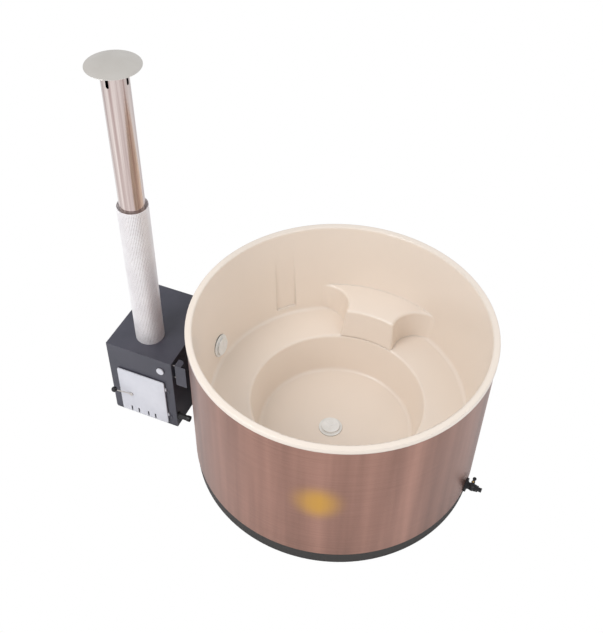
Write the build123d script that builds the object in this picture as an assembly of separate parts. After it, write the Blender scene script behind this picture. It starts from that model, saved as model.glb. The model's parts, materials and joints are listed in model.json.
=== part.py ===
from build123d import *
import os
from math import atan2, cos, degrees, radians, sin, sqrt

# Wood-burning hot tub with its outside stove, in millimetres.
# +Z is up, the origin is on the tub's axis at floor level, the stove stands on
# the -X side with its door facing -Y, and the drain valve is on the +X side.

# Clearances
seat = 0.3              # between curved faces that rest on each other
running = 0.05          # radial, round a pin or shaft that turns
pipe_gap = 3            # round a pipe where it passes through a wall
door_gap = 6            # between the door's returns and the casing

# Tub shell
rim_r = 850             # outside of the rim
rim_z = 1040            # top of the rim, also the tub's height
rim_lip = 30            # depth of the rim's turned-down skirt
rim_edge = 7            # rounding of the rim's outer edge
wall = 7                # moulded wall
mouth_r = 812           # inside of the wall at the rim
mouth_round = 10        # rounding of the mouth's edge
bench_z = 418           # top of the ring bench
seat_r = 757            # inside of the wall at the bench
bench_r = 508           # mouth of the footwell
floor_z = 150           # footwell floor
floor_r = 464           # footwell floor, radius
crease = 25             # rounding of the inside corners
nose = 16               # rounding of the bench and step edges
step_z = 608            # top of the raised step at the back
step_w = 340            # width of the step at bench level
step_draft = 5          # draft of the step's sides, degrees
step_flare = 140        # corner between the step's side and the wall
flare_run_out = 1       # how far the flare's arc runs into the wall
pad_dir = 136.5         # direction of the flat recess in the wall
pad_w = 128             # width of the recess
pad_z = 468             # bottom ledge of the recess
pad_r = 775             # flat of the recess from the axis, at its ledge
pad_lean = 2.85         # lean of the flat, degrees
pad_round = 8           # rounding of the recess's upright corners

# Outside of the tub
clad_r = 844            # copper sheet, outside
clad_t = 1.5            # copper sheet, thickness
clad_z = 90             # bottom edge of the copper sheet
plinth_r = 837          # plinth, outside
plinth_t = 12
hoop_w = 40             # timber hoops, radial width
lower_hoop_h = 60
upper_hoop_w = 20
upper_hoop_h = 40
board_t = 12            # base board
jacket_t = 38           # foam jacket below the bench
jacket_air = 24         # between the moulded wall and the foam above the bench
bearer_w = 45
bearer_y = 180          # first pair of floor bearers, from the axis
bearer_pitch = 180
bearer_end = 36         # from the bearer's end to the footwell's edge
rib_t = 18
rib_count = 8
rib_first = 128         # direction of the first bench rib, degrees
rib_span = 284          # from the first bench rib to the last
rib_inset = 22          # rib's inner edge from the footwell wall
step_rib_dir = 10       # each side of the step's middle
step_rib_r = 562        # inner edge of the step ribs
step_rib_end = 735      # outer edge of the step ribs

# Water fittings, the same pattern in the floor and in the wall
fit_r = 70              # flange
fit_t = 6
fit_cover_r = 55        # raised cover
fit_cover_h = 14
fit_cover_t = 2.5
fit_hole = 25           # hole in the moulded wall, radius
fit_bore = 18           # water way
fit_gasket = 1.5
fit_nut_r = 38
fit_nut_t = 8
spoke_w = 7             # three spokes in the cover's top
slot_count = 16         # slots round the cover's side
slot_w = 5
drain_x = -24           # floor fitting
drain_y = -18
wall_fit_z = 530        # wall fitting
wall_fit_dir = 179.25
body_wall = 6           # wall of the pipe sockets
socket_deep = 26        # depth of the pipe sockets

# Pipes between the tub and the stove, and to the valve
pipe_r = 16
pipe_bore = 13
pipe_z = 112            # axis of the cold pipe, the drain pipe and the valve
tail_r = 15             # hose tails
tail_bore = 12
tail_len = 42           # hose tail from the fitting's nut, and from the stove
hose_t = 4
clamp_w = 9
clamp_t = 1.5
clamp_in = 12           # clamp from the hose's end

# Drain valve
valve_dir = -4.5        # direction from the tub's axis, degrees
valve_stand = 11        # flange face from the copper sheet
flange_r = 42
flange_bead = 3
hub_r = 21              # hub through the tub's wall
body_r = 21             # valve body
body_len = 52
belly_r = 24            # valve body round the ball
ball_r = 14.5
ball_bore = 9
ball_x = 30             # ball from the flange face
seat_ring_t = 4
boss_r = 10             # stem boss
boss_top = 40           # top of the stem boss above the valve's axis
stem_r = 5
handle_z = 44           # underside of the butterfly handle above the axis
handle_len = 72
handle_t = 7
lobe_r = 11             # round ends of the handle
ball_slot = 10.5        # floor of the stem's slot in the ball, above its middle
seat_at = 11.6          # middle of the seat rings from the ball's middle
spout_r = 13            # outlet spout
spout_end = 87          # end of the spout from the flange face
spout_nut_r = 19
spout_nut_w = 14

# Stove casing
stove_x = -1372.5       # left side
stove_w = 437
stove_d = 572
stove_h = 580
sheet = 3
base_h = 10
base_in = 3             # how far the dark base stands back
mouth_left = 82.5       # fire opening from the casing's left side
mouth_w = 272
mouth_z = 95
mouth_h = 285
water_side = 47         # water space at the sides, back and front of the firebox
water_top = 120         # water space over the firebox
plate = 4               # firebox plate
grate_z = 78
grate_bar = 14
grate_count = 9

# Fire door
pan_left = 58.5         # door pan from the casing's left side
pan_w = 320
pan_z = 25
pan_h = 372
pan_d = 8               # depth of the pan's returns
pan_t = 2
pan_round = 10
vent_w = 10
vent_h = 46
vent_z = 29
vent_near = 34          # inner pair of air slots from the door's middle
vent_far = 83           # outer pair
vent_mid = 207.5        # middle of the air slots from the casing's left side
case_vent_drop = 4      # casing's slots are this much shorter at each end
seal_w = 9              # rope seal
seal_lap = 9            # seal's outside beyond the fire opening
seal_gap = 0.5          # seal to casing, door shut
liner_t = 8
liner_in = 5            # from the seal to the liner plate
screw_r = 3
screw_len = 6
screw_in = 22           # door screws from the liner plate's corners
hinge_x = 5             # hinge axis from the pan's edge
hinge_y = 5             # hinge axis in front of the casing
knuckle_r = 4.4
knuckle_len = 22
pin_r = 2.5
hinge_low = 70          # hinges, from the bottom and the top of the pan
hinge_foot = 20
leaf_t = 2.5

# Latch
latch_in = 79           # spindle from the pan's left edge
latch_z = 195
spindle_r = 6
bush_r = 10
bush_len = 8
tongue_len = 62
tongue_w = 14
tongue_t = 5
tongue_gap = 0.7        # behind the casing's front sheet
tongue_dir = 140        # tongue at rest, unlatched
lever_dir = 162         # lever at rest
lever_len = 104
lever_rise = 30         # how far the lever's end stands forward
lever_r = 4
hub_w = 8               # lever's hub
lever_hub_r = 11
knob_r = 18
knob_deep = 14          # lever's end inside the knob

# Front plug and side bracket
plug_x = 360.5          # from the casing's left side
plug_z = 492
plug_r = 24
plug_t = 8
plug_shank = 14
washer_t = 2
bracket_gap = 24.5      # from the casing's side
bracket_w = 69
bracket_z = 415
bracket_h = 168
bracket_d = 54
bracket_lip = 40        # width of the top flange
bracket_clip = 16       # clipped corner of the top flange
bracket_t = 2
stud_r = 5
stud_inset = 34         # studs from the bracket's ends
stub_y = 20             # stove's own drain stub from the casing's front
stub_z = 96
stub_r = 17
stub_len = 62
stub_plate = 4
stub_cap = 20
stub_flange_w = 54      # oblong flange against the casing
stub_flange_h = 41

# Chimney
chimney_x = 207.4       # from the casing's left side
chimney_y = 168.8       # from the casing's front
chimney_r = 70
chimney_t = 1.5
chimney_top = 2395
stub_fit = 0.3
collar_t = 3
collar_w = 8            # collar beyond the chimney
flue_up = 90            # flue stub above the casing
guard_r = 85
guard_t = 1.5
guard_top = 1562
spacer_z = 1483
spacer_w = 14
spacer_low = 700
cap_r = 138
cap_rise = 20
cap_t = 1.5
draught_w = 17          # slots under the cap
draught_z = 2293
strap_w = 20
strap_t = 3
strap_down = 14         # cross strap below the chimney's top
cap_post_r = 4

os.makedirs("parts", exist_ok=True)


def save(name, shape):
    """Write one node."""
    export_step(shape, f"parts/{name}.step")
    print(f"{name}: {len(shape.solids())} solid(s), {shape.volume / 1000:.1f} cm3")


def group(shapes):
    """Several like solids in one node."""
    return Compound(children=[s for shape in shapes for s in shape.solids()])


def block(x0, x1, y0, y1, z0, z1):
    """Box between two opposite corners."""
    middle = Pos((x0 + x1) / 2, (y0 + y1) / 2, (z0 + z1) / 2)
    return middle * Box(x1 - x0, y1 - y0, z1 - z0)


def rod(radius, z0, z1):
    """Upright rod between two levels."""
    return Pos(0, 0, z0) * extrude(Circle(radius), z1 - z0)


def tube(outer, inner, z0, z1):
    """Upright tube between two levels."""
    return Pos(0, 0, z0) * extrude(Circle(outer) - Circle(inner), z1 - z0)


def hexagon(radius, bore, z0, z1):
    """Hexagonal nut."""
    return Pos(0, 0, z0) * extrude(RegularPolygon(radius, 6) - Circle(bore), z1 - z0)


def turned(points, rounds=()):
    """Solid of revolution; rounds gives corners of the profile with their radii."""
    face = make_face(Polyline(*points, close=True))
    for x, z, radius in rounds:
        corner = face.vertices().sort_by_distance((x, z, 0))[0]
        face = fillet(corner, radius)
    return revolve(Plane.XZ * face, Axis.Z)


def around(direction, shape):
    """Turn a shape about the tub's axis, from +X."""
    return Rot(0, 0, direction) * shape


# Moulded liner: the hollow is made twice, at its own size and grown by the
# wall, and the shell is what lies between them.

def wall_at(z):
    """Inside radius of the drafted wall."""
    return seat_r + (mouth_r - seat_r) * (z - bench_z) / (rim_z - bench_z)


def footwell_at(z):
    """Inside radius of the footwell."""
    return floor_r + (bench_r - floor_r) * (z - floor_z) / (bench_z - floor_z)


def step_block(shrink):
    """The raised step, flared into the wall, as it stands in the hollow."""
    half = step_w / 2 - shrink
    centre_x = step_w / 2 + step_flare
    centre_y = sqrt((seat_r - step_flare + flare_run_out) ** 2 - centre_x ** 2)
    meet = degrees(atan2(centre_y, centre_x))
    front = bench_r - step_w / 2
    side = Line((half, front), (half, centre_y))
    flare = CenterArc((centre_x, centre_y), step_flare + shrink, meet, 180 - meet)
    tail = PolarLine(flare @ 0, rim_r - seat_r, meet - 90)
    far_x = (tail @ 1).X
    back = Polyline(tail @ 1, (far_x, rim_r), (0, rim_r))
    outline = Curve() + [Line((0, front), (half, front)), side, flare, tail, back]
    outline += mirror(outline, Plane.YZ)
    plan = Pos(0, 0, bench_z - shrink) * make_face(outline.edges())
    body = extrude(plan, step_z - bench_z, taper=step_draft)
    reach = step_z + nose
    body -= turned([(0, floor_z), (floor_r + shrink, floor_z),
                    (footwell_at(reach) + shrink, reach), (0, reach)])
    top = body.faces().sort_by(Axis.Z)[-1]
    edges = top.edges().filter_by(lambda e: e.center().Y < seat_r - crease)
    edges += body.edges().filter_by(lambda e: abs(e.center().X) < step_w / 2 + nose
                                    and e.bounding_box().size.Z > (step_z - bench_z) / 2)
    return fillet(edges, nose - shrink)


def pad_recess(grow):
    """Flat recess in the wall, leaning back until it runs out."""
    far = pad_r + grow
    lean = (rim_z - pad_z) * sin(radians(pad_lean))
    face = make_face(Polyline((bench_r + wall, pad_z - grow), (far, pad_z - grow),
                              (far + lean, rim_z), (bench_r + wall, rim_z), close=True))
    body = extrude(Plane.XZ * face, pad_w / 2 + grow, both=True)
    upright = body.edges().filter_by(lambda e: e.center().X > pad_r and abs(e.tangent_at(0).Z) > 0.9)
    return around(pad_dir, fillet(upright, pad_round))


def basin(grow):
    """The tub's hollow, or its back when grown by the wall."""
    low = bench_z - grow
    wide = mouth_r + grow
    deep = floor_z - grow
    sole = footwell_at(deep) + grow
    edge = footwell_at(low) + grow
    foot = wall_at(low) + grow
    body = turned([(0, deep), (sole, deep), (edge, low), (foot, low), (wide, rim_z),
                   (wide + mouth_round * 2, rim_z), (wide + mouth_round * 2, rim_z + rim_lip),
                   (0, rim_z + rim_lip)],
                  [(sole, deep, crease + grow), (edge, low, nose - grow),
                   (foot, low, crease + grow), (wide, rim_z, mouth_round)])
    return body - step_block(grow) + pad_recess(grow)


hollow = basin(0)
skirt_r = clad_r + seat
rim = turned([(mouth_r - mouth_round, rim_z - wall), (skirt_r, rim_z - wall), (skirt_r, rim_z - rim_lip),
              (rim_r, rim_z - rim_lip), (rim_r, rim_z), (mouth_r - mouth_round, rim_z)],
             [(rim_r, rim_z, rim_edge - seat)])
grown = basin(wall) & rod(rim_r, 0, rim_z - seat)
liner = grown + rim - hollow

# Where the two water fittings sit: z runs from the water side outwards
wall_draft = degrees(atan2(mouth_r - seat_r, rim_z - bench_z))
fit_r0 = wall_at(wall_fit_z)
wall_spot = Pos(fit_r0 * cos(radians(wall_fit_dir)), fit_r0 * sin(radians(wall_fit_dir)), wall_fit_z)
hot_axis = wall_spot * Rot(0, 0, wall_fit_dir) * Rot(0, 90 + wall_draft, 0)
drain_axis = Pos(drain_x, drain_y, floor_z) * Rot(180, 0, 0)
liner -= hot_axis * rod(fit_hole, -fit_t, wall * 3)
liner -= drain_axis * rod(fit_hole, -fit_t, wall * 3)
save("tub_liner", liner)

# Straight ways through the tub's side for the two pipes and the hose
cold_axis = Pos(drain_x, drain_y, pipe_z) * Rot(0, -90, 0)
valve_x = (clad_r + valve_stand) * cos(radians(valve_dir))
valve_y = (clad_r + valve_stand) * sin(radians(valve_dir))
drain_dir = degrees(atan2(valve_y - drain_y, valve_x - drain_x))
drain_run = sqrt((valve_x - drain_x) ** 2 + (valve_y - drain_y) ** 2)
drain_way = Pos(drain_x, drain_y, pipe_z) * Rot(0, 0, drain_dir) * Rot(0, 90, 0)
ways = cold_axis * rod(pipe_r + pipe_gap, bench_r, rim_r * 1.1)
ways += drain_way * rod(hub_r + seat, bench_r, rim_r * 1.1)
hose_r = tail_r + hose_t
ways += hot_axis * rod(hose_r + pipe_gap, fit_nut_t, rim_r - seat_r + wall)
pocket = hot_axis * rod(fit_nut_r + pipe_gap * 3, 0, rim_r - seat_r - hoop_w / 2)

# Outside of the tub
clad_in = clad_r - clad_t
save("copper_cladding", tube(clad_r, clad_in, clad_z, rim_z - wall) - ways)
save("plinth_ring", tube(plinth_r, plinth_r - plinth_t, 0, clad_z))
hoop_r = clad_in - seat
hoop_in = hoop_r - hoop_w
lower_top = clad_z + lower_hoop_h
upper_low = rim_z - wall - upper_hoop_h
save("lower_hoop", tube(hoop_r, hoop_in, clad_z, lower_top) - ways)
save("upper_hoop", tube(hoop_r, hoop_r - upper_hoop_w, upper_low, rim_z - wall))
save("base_board", rod(plinth_r - plinth_t - seat, 0, board_t))
jacket_top = wall_at(upper_low) + wall + seat
jacket = turned([(hoop_r - jacket_t, lower_top), (hoop_r, lower_top), (hoop_r, upper_low),
                 (jacket_top, upper_low), (seat_r + wall + jacket_air, pad_z),
                 (hoop_r - jacket_t, bench_z)])
save("insulation_jacket", jacket - ways - pocket)

# Timber under the moulding
under_floor = floor_z - wall
bearers = []
for k in range(2):
    y = bearer_y + k * bearer_pitch
    half = sqrt((floor_r - bearer_end) ** 2 - (y + bearer_w / 2) ** 2)
    bearers.append(block(-half, half, y - bearer_w / 2, y + bearer_w / 2, board_t, under_floor))
    bearers.append(block(-half, half, -y - bearer_w / 2, bearer_w / 2 - y, board_t, under_floor))
save("floor_bearers", group(bearers))

under_bench = bench_z - wall
rib = block(bench_r + rib_inset, hoop_in - seat, -rib_t / 2, rib_t / 2, board_t, under_bench)
ribs = [around(rib_first + k * rib_span / (rib_count - 1), rib) for k in range(rib_count)]
tall = block(step_rib_r, step_rib_end, -rib_t / 2, rib_t / 2, board_t, step_z - wall)
ribs += [around(90 + side * step_rib_dir, tall) for side in (-1, 1)]
save("bench_ribs", group(ribs))


# Water fittings in their own frame: z 0 is the water side of the moulded wall
# and z grows outwards.

def fitting_flange(stand, reach):
    """Flange with its sleeve through the wall; stand lifts it off the wall."""
    body = tube(fit_r, fit_bore, -stand - fit_t, -stand)
    circles = body.edges().filter_by(GeomType.CIRCLE)
    rim_edge_line = circles.sort_by(lambda e: e.center().Z * fit_r - e.radius)[0]
    body = fillet(rim_edge_line, fit_t / 3)
    return body + tube(fit_hole - seat, fit_bore, -stand, reach)


def fitting_cover(stand):
    """Raised cover: three spokes over a dished grille, slots round the side."""
    low = -stand - fit_t
    top = low - fit_cover_h
    body = turned([(fit_cover_r - fit_cover_t, low), (fit_cover_r, low), (fit_cover_r, top), (0, top),
                   (0, top + fit_cover_t), (fit_cover_r - fit_cover_t, top + fit_cover_t)],
                  [(fit_cover_r, top, fit_cover_t)])
    ring = fit_cover_r - spoke_w * 1.6
    windows = Circle(ring) - Circle(fit_bore / 2)
    for k in range(3):
        windows -= Rot(0, 0, 90 + k * 120) * Pos(ring / 2, 0) * Rectangle(ring, spoke_w)
    body -= Pos(0, 0, top - 1) * extrude(windows, fit_cover_t / 2 + 1)
    slot = block(fit_cover_r - fit_cover_t * 2, fit_cover_r + 1, -slot_w / 2, slot_w / 2,
                 top + fit_cover_t * 2, low - fit_cover_t)
    for k in range(slot_count):
        body -= Rot(0, 0, (k + 0.5) * 360 / slot_count) * slot
    return body


curve_sag = fit_r0 - sqrt(fit_r0 ** 2 - fit_r ** 2)
wall_stand = curve_sag + fit_gasket
nut_stop = wall + fit_nut_t
body_end = floor_z - pipe_z - pipe_bore - seat
save("drain_gasket", drain_axis * tube(fit_r, fit_hole, -fit_gasket, 0))
save("drain_flange", drain_axis * fitting_flange(fit_gasket, body_end))
save("drain_cover", drain_axis * fitting_cover(fit_gasket))
save("drain_nut", drain_axis * hexagon(fit_nut_r, fit_hole, wall, nut_stop))

socket_r = pipe_r + body_wall
sump_r = fit_hole + body_wall
port_in = sump_r + socket_deep
sump = drain_axis * rod(sump_r, nut_stop, floor_z - pipe_z + socket_r)
sump += cold_axis * rod(socket_r, 0, port_in)
sump += drain_way * rod(socket_r, 0, port_in)
sump -= drain_axis * rod(fit_hole, 0, body_end)
sump -= drain_axis * rod(fit_bore, 0, floor_z - pipe_z + pipe_bore)
for way in (cold_axis, drain_way):
    sump -= way * rod(pipe_bore, 0, sump_r)
    sump -= way * rod(pipe_r, port_in - socket_deep, port_in)
save("drain_body", sump)

wet_side = turned([(0, bench_z), (wall_at(bench_z) - seat, bench_z), (wall_at(rim_z) - seat, rim_z),
                   (0, rim_z)])
save("wall_gasket", hot_axis * tube(fit_r, fit_hole, -wall_stand, 0) & wet_side)
save("wall_flange", hot_axis * fitting_flange(wall_stand, nut_stop + fit_nut_t))
save("wall_cover", hot_axis * fitting_cover(wall_stand))
save("wall_nut", hot_axis * hexagon(fit_nut_r, fit_hole, wall + seat, nut_stop))
tail_in = nut_stop + fit_nut_t
tail = tube(sump_r, fit_hole, nut_stop, tail_in) + tube(sump_r, tail_bore, tail_in, tail_in + body_wall)
tail += tube(tail_r, tail_bore, tail_in + body_wall, tail_in + tail_len)
save("wall_body", hot_axis * tail)

# Hot hose from the wall fitting down to the stove, and its clamps
stove_right = stove_x + stove_w
stove_front = -stove_d / 2
hot_run = (fit_r0 + stove_right) / cos(radians(wall_draft)) * -1
hose_from = tail_in + body_wall
hose_to = hot_run - body_wall
save("hot_hose", hot_axis * tube(hose_r, tail_r, hose_from, hose_to))
clamps = []
for at in (hose_from + clamp_in, hose_to - clamp_in - clamp_w):
    band = tube(hose_r + clamp_t, hose_r, at, at + clamp_w)
    lug = block(hose_r, hose_r + clamp_t * 4, -clamp_w / 2, clamp_w / 2, at, at + clamp_w)
    clamps.append(hot_axis * (band + lug))
save("hose_clamps", group(clamps))
cold_end = drain_x - stove_right
save("cold_pipe", cold_axis * tube(pipe_r, pipe_bore, sump_r, cold_end))

# Ports on the stove: the hot one is a hose tail, the cold one a socket
hot_port = hot_axis * tube(tail_r, tail_bore, hot_run - tail_len, hot_run + stove_w / 8)
hot_port += hot_axis * tube(sump_r, tail_bore, hot_run - body_wall, hot_run + stove_w / 8)
right_of_casing = block(stove_right, 0, stove_front, -stove_front, 0, rim_z)
cold_port = cold_axis * tube(socket_r, pipe_r, cold_end - socket_deep, cold_end)
save("stove_ports", group([hot_port & right_of_casing, cold_port]))

# Drain pipe and valve; the valve's frame has x outwards from the flange face
save("drain_pipe", drain_way * tube(pipe_r, pipe_bore, sump_r, drain_run - flange_bead))
valve_spot = Pos(valve_x, valve_y, pipe_z) * Rot(0, 0, drain_dir)
along = Rot(0, 90, 0)
hub_in = clad_r + valve_stand - hoop_in
flange = along * tube(flange_r, pipe_r, -valve_stand * 3, 0)
flange += along * tube(body_r + flange_bead * 2, body_r, 0, flange_bead)
flange = valve_spot * flange - tube(clad_r + seat, bench_r, 0, rim_z)
flange += valve_spot * along * tube(hub_r, pipe_r, -hub_in, -valve_stand / 2)
save("valve_flange", flange)

ball_spot = Pos(ball_x, 0, 0)
chamber = ball_r + seat * 2
well = ball_x - ball_r
waist = boss_r + 1
profile = [(0, ball_bore), (0, body_r), (ball_x - waist, body_r), (ball_x - waist / 2, belly_r),
           (ball_x + waist / 2, belly_r), (ball_x + waist, body_r), (body_len, body_r),
           (body_len, chamber), (well, chamber), (well, ball_bore)]
body = revolve(make_face(Polyline(*profile, close=True)), Axis.X)
body += ball_spot * rod(boss_r, chamber, boss_top)
body -= along * rod(chamber, well, body_len)
body -= ball_spot * rod(stem_r + running, 0, boss_top)
save("valve_body", valve_spot * body)

ball = Sphere(ball_r) - along * rod(ball_bore, -ball_r - 1, ball_r + 1)
slot_z = ball_slot
ball -= block(-ball_r, ball_r, -stem_r / 2, stem_r / 2, slot_z, ball_r)
ring_mid = -seat_at
ring = along * tube(chamber, ball_bore, ring_mid - seat_ring_t / 2, ring_mid + seat_ring_t / 2)
ring -= Sphere(ball_r + running)
rings = [valve_spot * ball_spot * Rot(0, 0, turn) * ring for turn in (0, 180)]
save("valve_seats", group(rings))
save("valve_ball", valve_spot * ball_spot * ball)

stem = rod(stem_r, ball_r + running, handle_z + handle_t)
tang = stem_r / 2 - seat / 2
stem += block(-ball_r, ball_r, -tang, tang, slot_z + seat, ball_r + 1) & rod(stem_r, 0, boss_top)
save("valve_stem", valve_spot * ball_spot * stem)

lobe = handle_len / 2 - lobe_r
wing = Circle(boss_r + 1)
wing += Rectangle(boss_r * 1.3, lobe * 2)
for side in (-1, 1):
    wing += Pos(0, side * lobe) * Circle(lobe_r)
handle = Pos(0, 0, handle_z) * extrude(wing, handle_t) - rod(stem_r, 0, handle_z + handle_t * 2)
save("valve_handle", valve_spot * ball_spot * handle)

spout = along * tube(spout_r, ball_bore, body_len, spout_end)
spout += along * hexagon(spout_nut_r, ball_bore, body_len, body_len + spout_nut_w)
save("valve_outlet", valve_spot * spout)


# Stove base, casing and firebox
stove_back = stove_d / 2
casing = block(stove_x, stove_right, stove_front, stove_back, base_h, stove_h)
inner = block(stove_x + sheet, stove_right - sheet, stove_front + sheet, stove_back - sheet,
              base_h, stove_h - sheet)
casing = fillet(casing.edges().filter_by(Axis.Z), sheet) - inner
fire_x = stove_x + mouth_left
fire_mouth = block(fire_x, fire_x + mouth_w, stove_front - 1, stove_front + sheet + 1,
                   mouth_z, mouth_z + mouth_h)
casing -= fillet(fire_mouth.edges().filter_by(Axis.Y), pan_round)
vent_x = stove_x + vent_mid
vents = [vent_x + side * off for off in (vent_near, vent_far) for side in (-1, 1)]


def vent(x, short, y0, y1):
    """Air slot with round ends, through a sheet between y0 and y1."""
    face = SlotOverall(vent_h - short * 2, vent_w, rotation=90)
    middle = Pos(x, y1, vent_z + vent_h / 2)
    return middle * extrude(Plane.XZ * face, y1 - y0)


for x in vents:
    casing -= vent(x, case_vent_drop, stove_front - 1, stove_front + sheet + 1)
flue_x = stove_x + chimney_x
flue_y = stove_front + chimney_y
flue = Pos(flue_x, flue_y, 0)
flue_r = chimney_r - chimney_t - stub_fit
casing -= flue * rod(flue_r + seat, stove_h - sheet * 2, stove_h + 1)
plug_at = stove_x + plug_x
plug_way = Pos(plug_at, stove_front, plug_z) * Rot(90, 0, 0)
casing -= plug_way * rod(plug_shank + seat, -sheet * 2, sheet)
casing -= hot_axis * rod(tail_r + seat, hot_run - tail_len, hot_run + stove_w / 4)
casing -= cold_axis * rod(pipe_bore, cold_end - sheet, cold_end + sheet * 2)
stub_at = Pos(stove_right, stove_front + stub_y, stub_z) * along
stub_bore = stub_r - stub_plate
casing -= stub_at * rod(stub_bore, -sheet * 2, sheet)
save("stove_casing", casing)

base = block(stove_x + base_in, stove_right - base_in, stove_front + base_in, stove_back - base_in,
             0, base_h)
save("stove_base", fillet(base.edges().filter_by(Axis.Z), sheet))

box_l = stove_x + water_side
box_r = stove_right - water_side
box_y = stove_back - water_side
box_top = stove_h - water_top
box_front = stove_front + sheet
firebox = block(box_l, box_r, box_front, box_y, base_h, box_top)
fire_left = box_l + plate
fire_right = box_r - plate
firebox -= block(fire_left, fire_right, box_front, box_y - plate, base_h + plate, box_top - plate)
firebox -= flue * rod(flue_r - chimney_t, box_top - plate * 2, box_top + 1)
ledge_y = box_y - plate
firebox += block(fire_left, fire_left + grate_bar, box_front + mouth_left, ledge_y, grate_z - plate, grate_z)
firebox += block(fire_right - grate_bar, fire_right, box_front + mouth_left, ledge_y, grate_z - plate,
                 grate_z)
save("firebox", firebox)

grate_front = box_front + mouth_left
grate_back = ledge_y - seat
cross = [block(fire_left + seat, fire_right - seat, y, y + grate_bar, grate_z, grate_z + grate_bar)
         for y in (grate_front, grate_back - grate_bar)]
pitch = (fire_right - fire_left - grate_bar - seat * 2) / (grate_count - 1)
grate = cross[0] + cross[1]
for k in range(grate_count):
    x = fire_left + seat + k * pitch
    grate += block(x, x + grate_bar, grate_front, grate_back, grate_z, grate_z + grate_bar)
save("grate", grate)

# Chimney with its guard and cap
collar_r = chimney_r + collar_w
stub_top = stove_h + flue_up
flue_stub = tube(flue_r, flue_r - chimney_t, box_top, stub_top)
flue_stub += tube(collar_r, flue_r - chimney_t, stove_h, stove_h + collar_t)
save("flue_stub", flue * flue_stub)

pipe = tube(chimney_r, chimney_r - chimney_t, stove_h + collar_t, chimney_top)
slot_low = draught_z + draught_w / 2
slot_high = chimney_top + draught_w
draught = Pos(0, (slot_low + slot_high) / 2) * Rectangle(draught_w, slot_high - slot_low)
draught += Pos(0, slot_low) * Circle(draught_w / 2)
cut = extrude(Plane.XZ * draught, chimney_r * 2, both=True)
for k in range(2):
    pipe -= Rot(0, 0, k * 90) * cut
save("chimney_pipe", flue * pipe)
save("heat_guard", flue * tube(guard_r, guard_r - guard_t, stove_h, guard_top))

spacers = []
guard_in = guard_r - guard_t
for z in (spacer_low, spacer_z):
    for k in range(4):
        pad = block(chimney_r + seat, guard_in - seat, -spacer_w / 2, spacer_w / 2,
                    z - spacer_w / 2, z + spacer_w / 2)
        spacers.append(flue * Rot(0, 0, k * 90) * pad)
save("guard_spacers", group(spacers))

dome_r = (cap_r ** 2 + cap_rise ** 2) / (2 * cap_rise)
dome_z = chimney_top + seat - sqrt(dome_r ** 2 - chimney_r ** 2)
eaves_z = dome_z + sqrt(dome_r ** 2 - cap_r ** 2)
crown_z = dome_z + dome_r
dome = Pos(0, 0, dome_z) * (Sphere(dome_r + cap_t) - Sphere(dome_r))
save("rain_cap", flue * (dome & rod(cap_r, eaves_z, crown_z + cap_t)))

strap_z = chimney_top - strap_down
strap_half = chimney_r - chimney_t - seat
strap = block(-strap_half, strap_half, -strap_w / 2, strap_w / 2, strap_z - strap_t, strap_z)
strap = Rot(0, 0, 45) * strap
strap &= rod(strap_half, strap_z - strap_t, strap_z)
strap += rod(cap_post_r, strap_z, crown_z)
strap &= Pos(0, 0, dome_z) * Sphere(dome_r)
save("cap_bracket", flue * strap)

# Front plug with its washer
washer = tube(plug_r + washer_t, plug_shank, 0, washer_t)
save("plug_washer", plug_way * washer)
plug = rod(plug_r, washer_t, washer_t + plug_t)
plug = fillet(plug.edges().sort_by(Axis.Z)[-1], washer_t) + rod(plug_shank, -sheet * 2, washer_t)
save("front_plug", plug_way * plug)


# Folded bracket beside the stove, on two studs
bracket_x = stove_right + bracket_gap
bracket_top = bracket_z + bracket_h
bracket = block(bracket_x, bracket_x + bracket_w, stove_front, stove_front + bracket_t,
                bracket_z, bracket_top)
bracket += block(bracket_x, bracket_x + bracket_t, stove_front, stove_front + bracket_d,
                 bracket_z, bracket_top)
lip = Plane.XY * make_face(Polyline((0, 0), (bracket_lip, 0), (bracket_lip, bracket_d - bracket_clip),
                                    (bracket_lip - bracket_clip, bracket_d), (0, bracket_d), close=True))
bracket += Pos(bracket_x, stove_front, bracket_top - bracket_t) * extrude(lip, bracket_t)
stud_y = stove_front + bracket_d / 2
studs = []
for z in (bracket_z + stud_inset, bracket_top - stud_inset):
    spot = Pos(stove_right, stud_y, z) * along
    bracket -= spot * rod(stud_r / 2 + seat, bracket_gap, bracket_gap + bracket_t)
    stud = rod(stud_r, 0, bracket_gap) + rod(stud_r / 2, bracket_gap, bracket_gap + bracket_t * 3)
    nut = hexagon(stud_r, stud_r / 2, bracket_gap + bracket_t, bracket_gap + bracket_t * 2.5)
    studs.append(spot * stud + spot * nut)
save("side_bracket", bracket)
save("bracket_studs", group(studs))

# Drain stub low on the stove's side, closed by a plug
oblong = Plane.XY * SlotOverall(stub_flange_w, stub_flange_h)
stub = extrude(oblong - Circle(stub_bore), stub_plate) + tube(stub_r, stub_bore, 0, stub_len)
save("stove_drain_pipe", stub_at * stub)
stub_plug = rod(stub_bore - seat, stub_len - stub_cap, stub_len)
stub_plug += rod(stub_r + stub_plate / 2, stub_len, stub_len + stub_cap)
stub_plug = fillet(stub_plug.edges().sort_by(Axis.Z)[-1], stub_plate / 2)
save("stove_drain_plug", stub_at * stub_plug)

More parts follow.
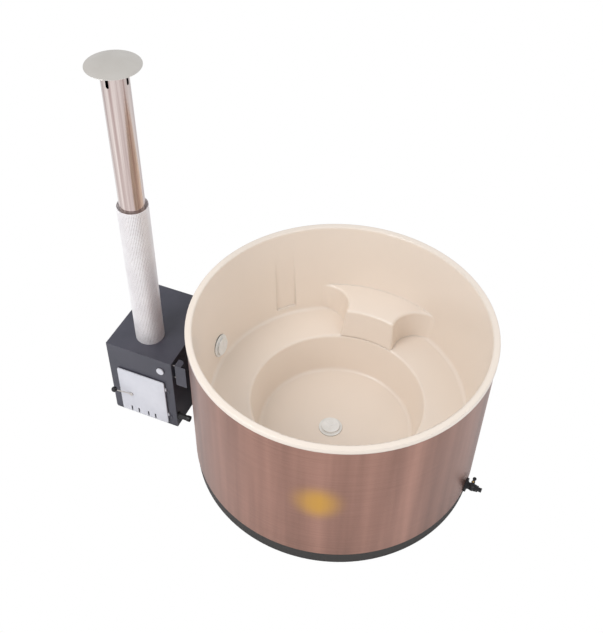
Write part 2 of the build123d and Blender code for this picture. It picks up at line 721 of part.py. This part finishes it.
# Fire door: a pan with its returns turned towards the casing
pan_x0 = stove_x + pan_left
pan_x1 = pan_x0 + pan_w
pan_top = pan_z + pan_h
pan_back = stove_front - door_gap
pan_front = pan_back - pan_d
skin = pan_front + pan_t
pan = block(pan_x0, pan_x1, pan_front, pan_back, pan_z, pan_top)
pan = fillet(pan.edges().filter_by(Axis.Y), pan_round)
pan = fillet(pan.faces().sort_by(Axis.Y)[0].edges(), pan_t)
dish = block(pan_x0 + pan_t, pan_x1 - pan_t, skin, pan_back, pan_z + pan_t, pan_top - pan_t)
pan -= fillet(dish.edges().filter_by(Axis.Y), pan_round - pan_t)
for x in vents:
    pan -= vent(x, 0, pan_front - 1, skin + 1)

spindle_x = pan_x0 + latch_in
spindle = Pos(spindle_x, skin, latch_z) * Rot(90, 0, 0)
spindle_bore = spindle_r + running
pan += spindle * tube(bush_r, spindle_bore, -bush_len, 0)
pan -= spindle * rod(spindle_bore, -pan_d, pan_d)

hinge = Pos(pan_x1 + hinge_x, stove_front - hinge_y, 0)
hinge_zs = (pan_z + hinge_low, pan_top - hinge_low)
brackets = []
pins = []
for z in hinge_zs:
    upper = tube(knuckle_r, pin_r + running, z, z + knuckle_len)
    leaf = block(-hinge_x - pan_t, -pin_r - running, -leaf_t / 2, leaf_t / 2, z, z + knuckle_len)
    pan += hinge * (upper + leaf - rod(pin_r + running, z, z + knuckle_len))
    lower = tube(knuckle_r, pin_r, z - knuckle_len, z)
    foot = block(0, hinge_foot, hinge_y - leaf_t, hinge_y, z - knuckle_len, z)
    brackets.append(hinge * (lower + foot - rod(pin_r, z - knuckle_len, z)))
    pins.append(hinge * rod(pin_r, z - knuckle_len, z + knuckle_len - seat))
save("hinge_brackets", group(brackets))
save("hinge_pins", group(pins))
save("fire_door", pan)

# Rope seal round the fire opening and the liner plate inside it
seal_x0 = fire_x - seal_lap
seal_x1 = fire_x + mouth_w + seal_lap
seal_z0 = mouth_z - seal_lap
seal_z1 = mouth_z + mouth_h + seal_lap
seal_back = stove_front - seal_gap
rope = block(seal_x0, seal_x1, skin, seal_back, seal_z0, seal_z1)
rope = fillet(rope.edges().filter_by(Axis.Y), pan_round + seal_lap)
core = block(seal_x0 + seal_w, seal_x1 - seal_w, skin, seal_back, seal_z0 + seal_w, seal_z1 - seal_w)
rope -= fillet(core.edges().filter_by(Axis.Y), pan_round)
save("door_seal", rope)

in_x0 = seal_x0 + seal_w + liner_in
in_x1 = seal_x1 - seal_w - liner_in
in_z0 = seal_z0 + seal_w + liner_in
in_z1 = seal_z1 - seal_w - liner_in
brick = block(in_x0, in_x1, skin, skin + liner_t, in_z0, in_z1)
brick = fillet(brick.edges().filter_by(Axis.Y), pan_round / 2)
brick -= spindle * rod(bush_r + seat, -liner_t, 0)
screws = []
for x in (in_x0 + screw_in, in_x1 - screw_in):
    for z in (in_z0 + screw_in, in_z1 - screw_in):
        spot = Pos(x, skin + liner_t, z) * Rot(90, 0, 0)
        brick -= spot * rod(screw_r / 2, 0, liner_t)
        screws.append(spot * (rod(screw_r / 2, 0, screw_len) + rod(screw_r, -pan_t, 0)))
save("door_liner", brick)
save("door_screws", group(screws))

# Latch: lever and knob outside, spindle and tongue inside
tongue_y = stove_front + sheet + tongue_gap
reach = skin - tongue_y - tongue_t
lever_y = -pan_t - seat
shaft = spindle * rod(spindle_r, reach, pan_t + seat + hub_w)
bar = SlotCenterToCenter(tongue_len - tongue_w / 2, tongue_w)
bar = Pos((tongue_len - tongue_w / 2) / 2, 0, 0) * extrude(Plane.XZ * bar, -tongue_t)
bar = Pos(spindle_x, tongue_y, latch_z) * Rot(0, -tongue_dir, 0) * bar
save("latch_spindle", shaft + bar)

hub_at = Pos(spindle_x, pan_front - seat, latch_z) * Rot(0, -lever_dir, 0)
hub = Rot(90, 0, 0) * tube(lever_hub_r, spindle_r, 0, hub_w)
tip = (lever_len, -hub_w / 2 - lever_rise, 0)
start = (spindle_r + lever_r / 2, -hub_w / 2, 0)
arm = Line(start, tip)
arm_end = lever_len - knob_deep
shaft_len = arm.length
arm_plane = Plane(origin=start, z_dir=arm % 0)
lever = hub + sweep(arm_plane * Circle(lever_r), arm) - Rot(90, 0, 0) * rod(spindle_r, 0, hub_w)
knob = Pos(*tip) * Sphere(knob_r)
knob -= arm_plane * rod(lever_r, 0, shaft_len)
save("latch_lever", hub_at * lever)
save("latch_knob", hub_at * knob)
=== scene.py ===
# %% [markdown]
# # Wood-burning hot tub: materials, light and fine pieces
# The frame is loaded first. Everything below is in metres in that same frame.

# %% Load the frame
import json
from math import cos, pi, sin
import bpy
from mathutils import Matrix, Vector


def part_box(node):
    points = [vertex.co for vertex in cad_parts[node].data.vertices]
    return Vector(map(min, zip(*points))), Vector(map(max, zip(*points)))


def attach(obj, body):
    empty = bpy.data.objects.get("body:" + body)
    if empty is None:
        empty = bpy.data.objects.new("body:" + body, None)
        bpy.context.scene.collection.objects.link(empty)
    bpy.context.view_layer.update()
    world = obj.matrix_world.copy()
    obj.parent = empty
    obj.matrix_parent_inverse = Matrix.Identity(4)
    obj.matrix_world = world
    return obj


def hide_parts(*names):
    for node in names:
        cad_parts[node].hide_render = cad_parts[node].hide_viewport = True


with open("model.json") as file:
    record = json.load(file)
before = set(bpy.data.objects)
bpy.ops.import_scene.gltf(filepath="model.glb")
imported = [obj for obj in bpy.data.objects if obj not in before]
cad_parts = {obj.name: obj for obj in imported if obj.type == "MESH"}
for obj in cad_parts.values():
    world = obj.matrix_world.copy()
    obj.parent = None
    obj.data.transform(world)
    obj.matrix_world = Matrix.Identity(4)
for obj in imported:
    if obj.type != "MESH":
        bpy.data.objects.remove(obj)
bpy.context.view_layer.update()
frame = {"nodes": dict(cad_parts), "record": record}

nodes = frame["nodes"]

# %% [markdown]
# ## Shared effects
# Each effect is a shader node group with sliders of its own. A small helper makes
# the group and its sockets, and the effects are then built from noise textures in
# object coordinates, which are metres here.

# %% Helper for node groups
def new_group(name, sliders, results):
    """A node group with number sliders; results are (name, socket type)."""
    tree = bpy.data.node_groups.new(name, "ShaderNodeTree")
    for label, value in sliders.items():
        item = tree.interface.new_socket(label, in_out="INPUT", socket_type="NodeSocketFloat")
        item.default_value = value
    for label, kind in results:
        tree.interface.new_socket(label, in_out="OUTPUT", socket_type=kind)
    tree.nodes.new("NodeGroupInput").name = "in"
    tree.nodes.new("NodeGroupOutput").name = "out"
    return tree


def add(tree, kind, links=(), **values):
    """One node; values set its properties, links are (input, source socket or number)."""
    node = tree.nodes.new(kind)
    for key, value in values.items():
        setattr(node, key, value)
    for key, source in links:
        if hasattr(source, "links"):
            tree.links.new(source, node.inputs[key])
        else:
            node.inputs[key].default_value = source
    return node


print("helpers ready")

# %% [markdown]
# ### Grain
# Stretched noise gives brushed metal, planed wood and painted reflection streaks. The
# three stretches say how fine the grain is along X, Y and Z.

# %% Grain group
def grain_group():
    sliders = {"Along X": 3.0, "Along Y": 3.0, "Along Z": 400.0, "Detail": 3.0, "Depth": 0.1}
    tree = new_group("Grain", sliders, [("Value", "NodeSocketFloat"), ("Normal", "NodeSocketVector")])
    take = tree.nodes["in"].outputs
    place = add(tree, "ShaderNodeTexCoord").outputs["Object"]
    scale = add(tree, "ShaderNodeCombineXYZ", [("X", take["Along X"]), ("Y", take["Along Y"]),
                                               ("Z", take["Along Z"])])
    spread = add(tree, "ShaderNodeVectorMath", [(0, place), (1, scale.outputs[0])], operation="MULTIPLY")
    noise = add(tree, "ShaderNodeTexNoise", [("Vector", spread.outputs[0]), ("Scale", 1.0),
                                             ("Detail", take["Detail"]), ("Roughness", 0.6)])
    bump = add(tree, "ShaderNodeBump", [("Height", noise.outputs["Fac"]), ("Strength", take["Depth"]),
                                        ("Distance", 0.001)])
    give = tree.nodes["out"].inputs
    tree.links.new(noise.outputs["Fac"], give["Value"])
    tree.links.new(bump.outputs["Normal"], give["Normal"])
    return tree


GRAIN = grain_group()
print(GRAIN.name, len(GRAIN.nodes), "nodes")

# %% [markdown]
# ### Texture of moulded and painted surfaces
# Fine noise gives orange peel or casting skin, and slow noise gives the uneven
# tone that any large surface has. Rounded edges, found with a bevel, get a painted
# highlight that the slow noise breaks up.

# %% Skin group
def skin_group():
    sliders = {"Fine": 900.0, "Slow": 5.0, "Depth": 0.1, "Edge": 0.002}
    tree = new_group("Skin", sliders, [("Tone", "NodeSocketFloat"), ("Painted edge highlight", "NodeSocketFloat"),
                                       ("Normal", "NodeSocketVector")])
    take = tree.nodes["in"].outputs
    place = add(tree, "ShaderNodeTexCoord").outputs["Object"]
    fine = add(tree, "ShaderNodeTexNoise", [("Vector", place), ("Scale", take["Fine"]), ("Detail", 2.0)])
    slow = add(tree, "ShaderNodeTexNoise", [("Vector", place), ("Scale", take["Slow"]), ("Detail", 5.0)])
    soft = add(tree, "ShaderNodeBevel", [("Radius", take["Edge"])], samples=4)
    bump = add(tree, "ShaderNodeBump", [("Height", fine.outputs["Fac"]), ("Strength", take["Depth"]),
                                        ("Distance", 0.0005), ("Normal", soft.outputs["Normal"])])
    flat = add(tree, "ShaderNodeNewGeometry")
    turn = add(tree, "ShaderNodeVectorMath", [(0, soft.outputs["Normal"]), (1, flat.outputs["Normal"])],
               operation="DOT_PRODUCT")
    # Painted highlight: rounded edges, where the bevelled normal turns from the true one, are marked for a lighter
    # colour.
    painted_edge_highlight = add(tree, "ShaderNodeMapRange", [("Value", turn.outputs["Value"]), ("From Min", 0.99),
                                            ("From Max", 0.85), ("To Min", 0.0), ("To Max", 1.0)])
    patchy_edge_highlight = add(tree, "ShaderNodeMath", [(0, painted_edge_highlight.outputs[0]), (1, slow.outputs["Fac"])], operation="MULTIPLY")
    give = tree.nodes["out"].inputs
    tree.links.new(slow.outputs["Fac"], give["Tone"])
    tree.links.new(patchy_edge_highlight.outputs[0], give["Painted edge highlight"])
    tree.links.new(bump.outputs["Normal"], give["Normal"])
    return tree


SKIN = skin_group()
print(SKIN.name, len(SKIN.nodes), "nodes")

# %% [markdown]
# ## Materials
# Colours are given as the eye sees them, from 0 to 255, and turned into linear
# values. A skin material mixes a dark and a light tone and lightens its rounded
# edges as a painted highlight; a grained one uses its grain for tone, roughness and bump.

# %% Material makers
def tint(*rgb):
    """Linear colour from 0-255 values."""
    shares = [c / 255 for c in rgb]
    return [c / 12.92 if c < 0.04045 else ((c + 0.055) / 1.055) ** 2.4 for c in shares] + [1.0]


def tone_mix(tree, fac, low, high, start=0.3, stop=0.7):
    """Colour between two tones, driven by a value."""
    ramp = add(tree, "ShaderNodeMapRange", [("Value", fac), ("From Min", start), ("From Max", stop)])
    mix = add(tree, "ShaderNodeMix", [("Factor", ramp.outputs[0]), (6, low), (7, high)], data_type="RGBA")
    return mix.outputs[2]


def start_material(name):
    """Empty material; gives the tree and its Principled node."""
    material = bpy.data.materials.new(name)
    material.use_nodes = True
    return material, material.node_tree, material.node_tree.nodes["Principled BSDF"]


def skin_material(name, low, high, rough=0.4, fine=900.0, slow=5.0, depth=0.1, edge=0.0015, painted_edge_highlight=None,
                  metal=0.0, coat=0.0):
    material, tree, shader = start_material(name)
    skin = add(tree, "ShaderNodeGroup", node_tree=SKIN)
    for label, value in (("Fine", fine), ("Slow", slow), ("Depth", depth), ("Edge", edge)):
        skin.inputs[label].default_value = value
    colour = tone_mix(tree, skin.outputs["Tone"], tint(*low), tint(*high))
    # The lighter edge colour is a painted highlight on rounded edges.
    edge_highlight_tone = tint(*(painted_edge_highlight or [min(255, c * 1.25) for c in high]))
    mixed = add(tree, "ShaderNodeMix", [("Factor", skin.outputs["Painted edge highlight"]), (6, colour), (7, edge_highlight_tone)],
                data_type="RGBA")
    tree.links.new(mixed.outputs[2], shader.inputs["Base Color"])
    spread = add(tree, "ShaderNodeMapRange", [("Value", skin.outputs["Tone"]), ("To Min", rough * 0.8),
                                              ("To Max", rough * 1.2)])
    tree.links.new(spread.outputs[0], shader.inputs["Roughness"])
    tree.links.new(skin.outputs["Normal"], shader.inputs["Normal"])
    shader.inputs["Metallic"].default_value = metal
    shader.inputs["Coat Weight"].default_value = coat
    return material


def grain_material(name, low, high, along, rough=0.35, depth=0.15, metal=1.0, detail=3.0):
    material, tree, shader = start_material(name)
    grain = add(tree, "ShaderNodeGroup", node_tree=GRAIN)
    for label, value in zip(("Along X", "Along Y", "Along Z", "Detail", "Depth"), (*along, detail, depth)):
        grain.inputs[label].default_value = value
    colour = tone_mix(tree, grain.outputs["Value"], tint(*low), tint(*high))
    tree.links.new(colour, shader.inputs["Base Color"])
    spread = add(tree, "ShaderNodeMapRange", [("Value", grain.outputs["Value"]), ("To Min", rough * 0.7),
                                              ("To Max", rough * 1.3)])
    tree.links.new(spread.outputs[0], shader.inputs["Roughness"])
    tree.links.new(grain.outputs["Normal"], shader.inputs["Normal"])
    shader.inputs["Metallic"].default_value = metal
    return material


print("liner colour, linear:", [round(c, 3) for c in tint(222, 203, 183)])

# %% [markdown]
# ### Copper sheet
# Brushed sheet has fine level grain, soft upright streaks of painted reflection,
# and one warm patch low on the front, which is a painted yellow reflection.

# %% Copper
def copper_material():
    material = grain_material("copper_brushed", (150, 113, 100), (174, 134, 120), (3, 3, 900), 0.34, 0.12)
    tree = material.node_tree
    shader = tree.nodes["Principled BSDF"]
    base = shader.inputs["Base Color"].links[0].from_socket
    # Painted reflection: upright streaks scale the colour darker and lighter in place of anisotropic highlight
    # streaks.
    reflection_streak = add(tree, "ShaderNodeGroup", node_tree=GRAIN)
    for label, value in (("Along X", 6.0), ("Along Y", 6.0), ("Along Z", 0.3)):
        reflection_streak.inputs[label].default_value = value
    painted_streak_shade = add(tree, "ShaderNodeMapRange", [("Value", reflection_streak.outputs["Value"]), ("From Min", 0.3),
                                             ("From Max", 0.7), ("To Min", 0.7), ("To Max", 1.15)])
    toned = add(tree, "ShaderNodeVectorMath", [(0, base), ("Scale", painted_streak_shade.outputs[0])], operation="SCALE")
    # Painted yellow reflection: a warm patch low on the front, broken up by the painted reflection streaks.
    place = add(tree, "ShaderNodeTexCoord").outputs["Object"]
    reflection_spot_distance = add(tree, "ShaderNodeVectorMath", [(0, place), (1, (0.20, -0.82, 0.57))], operation="DISTANCE")
    painted_reflection_mask = add(tree, "ShaderNodeMapRange", [("Value", reflection_spot_distance.outputs["Value"]), ("From Min", 0.19),
                                            ("From Max", 0.02), ("To Max", 0.8)], interpolation_type="SMOOTHERSTEP")
    streaked_reflection_mask = add(tree, "ShaderNodeMath", [(0, painted_reflection_mask.outputs[0]), (1, painted_streak_shade.outputs[0])], operation="MULTIPLY")
    painted_reflection_colour = add(tree, "ShaderNodeMix", [("Factor", streaked_reflection_mask.outputs[0]), (6, toned.outputs[0]),
                                       (7, tint(206, 158, 66))], data_type="RGBA")
    tree.links.new(painted_reflection_colour.outputs[2], shader.inputs["Base Color"])
    shader.inputs["Anisotropic"].default_value = 0.4
    return material


COPPER = copper_material()
print(COPPER.name, len(COPPER.node_tree.nodes), "nodes")

# %% [markdown]
# ### All other materials
# Each entry is one finish. The record says which node has it, apart from the guard
# and the cap, which are lighter than the other steel.

# %% Finishes
# Where a skin finish lists a third colour, that colour is the painted highlight on its rounded edges.
FINISH = {
    "liner": skin_material("liner_gelcoat", (233, 220, 206), (235, 222, 209), 0.3, 700, 1.5, 0.05, 0.012,
                           (238, 228, 217), coat=0.3),
    "copper": COPPER,
    "plinth": skin_material("plinth_board", (34, 31, 29), (46, 43, 40), 0.6, 500, 8, 0.3),
    "timber": grain_material("timber_planed", (176, 138, 92), (214, 182, 136), (18, 160, 160), 0.6, 0.4, 0.0),
    "foam": skin_material("foam_cells", (214, 206, 158), (234, 228, 190), 0.9, 240, 12, 1.0),
    "fitting": skin_material("fitting_white", (226, 226, 222), (240, 240, 238), 0.3, 800, 20, 0.05, coat=0.2),
    "black_plastic": skin_material("plastic_black", (20, 20, 22), (30, 30, 32), 0.42, 1600, 30, 0.25),
    "rubber": skin_material("rubber_matt", (22, 22, 22), (34, 33, 32), 0.75, 1200, 25, 0.35),
    "pipe": skin_material("pipe_grey", (82, 84, 88), (98, 100, 104), 0.4, 900, 20, 0.1),
    "steel": grain_material("steel_brushed", (188, 182, 176), (224, 218, 212), (40, 40, 500), 0.32, 0.1),
    # Polished steel: the long upright streaks from pink-grey to near white are painted reflection.
    "polished": grain_material("steel_polished_painted_streaks", (168, 146, 142), (228, 216, 210), (45, 45, 0.5), 0.16, 0.3),
    "guard": skin_material("guard_sheet", (234, 229, 230), (244, 240, 240), 0.4, 900, 9, 0.1, metal=0.3),
    "cap": skin_material("cap_satin", (206, 200, 192), (216, 211, 204), 0.36, 700, 6, 0.08, metal=0.75),
    "brass": grain_material("brass_plated", (190, 152, 84), (218, 182, 112), (60, 60, 600), 0.3, 0.1),
    "stove_paint": skin_material("stove_satin", (60, 60, 70), (72, 71, 81), 0.45, 1100, 6, 0.2, 0.002,
                                 (120, 122, 130)),
    "stove_dark": skin_material("stove_matt", (28, 28, 30), (40, 39, 40), 0.65, 900, 12, 0.3),
    "door_paint": skin_material("door_satin", (204, 204, 211), (218, 218, 224), 0.38, 1200, 6, 0.12, 0.002,
                                (236, 236, 240)),
    "iron": skin_material("iron_cast", (36, 35, 35), (54, 52, 50), 0.7, 350, 20, 0.8, metal=0.6),
    "brick": skin_material("brick_fired", (190, 176, 152), (214, 202, 180), 0.85, 300, 18, 0.7),
}
slots = {item["node"]: item["material_slot"] for item in frame["record"]["subparts"]}
for name, node in nodes.items():
    node.data.materials.clear()
    node.data.materials.append(FINISH[slots[name]])
    if name == "rain_cap":
        node.data.materials[0] = FINISH["cap"]
    for polygon in node.data.polygons:
        polygon.material_index = 0
print(len(slots), "nodes painted with", len(FINISH), "finishes")

# %% [markdown]
# ## Perforated heat guard
# The guard is a thin sheet rolled into a tube. Every cell of the grid has a real
# round hole with its own edge, and plain bands close the top and the bottom.

# %% Guard mesh
def guard_mesh(across=59, rows=109, hole=0.0026, corners=8, thick=0.0015, band=0.004):
    """Points and faces; hole is a radius and band the plain edge at each end."""
    low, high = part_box("heat_guard")
    middle = (Vector(low) + Vector(high)) / 2
    radius = (high[0] - low[0]) / 2
    step = (high[2] - low[2] - band * 2) / rows
    turn = 2 * pi / across
    points, faces = [], []

    def at(angle, z, r):
        points.append((middle.x + r * cos(angle), middle.y + r * sin(angle), z))
        return len(points) - 1

    ring = [(1, 0), (1, 1), (0, 1), (-1, 1), (-1, 0), (-1, -1), (0, -1), (1, -1)]
    for j in range(rows):
        z = low[2] + band + (j + 0.5) * step
        for i in range(across):
            a = (i + 0.5) * turn
            outer = [at(a + x * turn / 2, z + y * step / 2, radius) for x, y in ring]
            turns = [k * 2 * pi / corners for k in range(corners)]
            edge = [(hole * cos(t), hole * sin(t)) for t in turns]
            front = [at(a + u / radius, z + v, radius) for u, v in edge]
            back = [at(a + u / radius, z + v, radius - thick) for u, v in edge]
            for k in range(corners):
                m = (k + 1) % corners
                faces.append((outer[k], outer[m], front[m], front[k]))
                faces.append((front[k], front[m], back[m], back[k]))
    for z0, z1 in ((low[2], low[2] + band), (high[2] - band, high[2])):
        for i in range(across * 2):
            a, b = i * turn / 2, (i + 1) * turn / 2
            faces.append((at(a, z0, radius), at(b, z0, radius), at(b, z1, radius), at(a, z1, radius)))
            inner = radius - thick
            faces.append((at(b, z0, inner), at(a, z0, inner), at(a, z1, inner), at(b, z1, inner)))
            end = z0 if z0 == low[2] else z1
            faces.append((at(a, end, radius), at(b, end, radius), at(b, end, inner), at(a, end, inner)))
    return points, faces


def piece(name, points, faces, material, slot, body="tub_and_stove"):
    """A mesh object that rides on a body."""
    mesh = bpy.data.meshes.new(name)
    mesh.from_pydata(points, [], faces)
    mesh.materials.append(FINISH[material])
    obj = bpy.data.objects.new(name, mesh)
    bpy.context.scene.collection.objects.link(obj)
    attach(obj, body)
    return obj


guard = piece("guard_perforated", *guard_mesh(), "guard", "steel")
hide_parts("heat_guard")
print(guard.name, len(guard.data.polygons), "faces")

# %% [markdown]
# ## Floor, light and camera
# The floor and the background are plain, and white as the camera sees them. A
# slightly cool and dimmer background lights the object.

# %% Stage
def stage_floor():
    size = 14.0
    mesh = bpy.data.meshes.new("floor")
    corners = [(-size, -size, 0), (size, -size, 0), (size, size, 0), (-size, size, 0)]
    mesh.from_pydata(corners, [], [(0, 1, 2, 3)])
    floor = bpy.data.objects.new("floor", mesh)
    bpy.context.scene.collection.objects.link(floor)
    material, tree, shader = start_material("floor_white")
    shader.inputs["Base Color"].default_value = tint(252, 252, 252)
    shader.inputs["Roughness"].default_value = 0.9
    seen = add(tree, "ShaderNodeLightPath")
    plain = add(tree, "ShaderNodeEmission", [("Color", (1, 1, 1, 1)), ("Strength", 1.0)])
    both = add(tree, "ShaderNodeMixShader", [(0, seen.outputs["Is Camera Ray"]), (1, shader.outputs[0]),
                                             (2, plain.outputs[0])])
    tree.links.new(both.outputs[0], tree.nodes["Material Output"].inputs["Surface"])
    mesh.materials.append(material)
    return floor


floor = stage_floor()
world = bpy.data.worlds.new("plain_light")
bpy.context.scene.world = world
world.use_nodes = True
tree = world.node_tree
tree.nodes.clear()
white = add(tree, "ShaderNodeBackground", [("Color", (1, 1, 1, 1)), ("Strength", 1.0)])
soft = add(tree, "ShaderNodeBackground", [("Color", (0.95, 0.97, 1, 1)), ("Strength", 0.75)])
path = add(tree, "ShaderNodeLightPath")
pick = add(tree, "ShaderNodeMixShader", [(0, path.outputs["Is Camera Ray"]), (1, soft.outputs[0]),
                                         (2, white.outputs[0])])
out = add(tree, "ShaderNodeOutputWorld")
tree.links.new(pick.outputs[0], out.inputs["Surface"])
print("floor", floor.name, "world", world.name)

# %% [markdown]
# One large soft lamp stands at the front left, and a weaker one at the right.

# %% Lamps
def lamp(name, place, aim, size, power):
    data = bpy.data.lights.new(name, "AREA")
    data.shape = "DISK"
    data.size = size
    data.energy = power
    obj = bpy.data.objects.new(name, data)
    bpy.context.scene.collection.objects.link(obj)
    obj.location = place
    obj.rotation_euler = (Vector(aim) - Vector(place)).to_track_quat("-Z", "Y").to_euler()
    return obj


lamp("key_lamp", (-2.5, -3.5, 5.5), (-0.2, 0, 0.6), 3.0, 170)
lamp("fill_lamp", (4.5, -1.5, 4.0), (0, 0, 0.6), 3.5, 60)
print("lamps", len(bpy.data.lights))

# %% [markdown]
# The camera is the one solved from the edges in the photograph: its right, up and
# forward directions make the columns of its matrix.

# %% Camera
right = Vector((0.9220, 0.3868, 0.0182))
up = Vector((-0.2857, 0.6476, 0.7064))
forward = Vector((-0.2614, 0.6565, -0.7076))
data = bpy.data.cameras.new("photo_camera")
data.lens = 53.095
data.sensor_width = 36
camera = bpy.data.objects.new("photo_camera", data)
bpy.context.scene.collection.objects.link(camera)
turn = Matrix((right, up, -forward)).transposed().to_4x4()
camera.matrix_world = Matrix.Translation((1.1041, -3.3731, 4.6333)) @ turn
bpy.context.scene.camera = camera
bpy.context.scene.view_settings.view_transform = "Standard"
print("camera at", [round(v, 3) for v in camera.location])
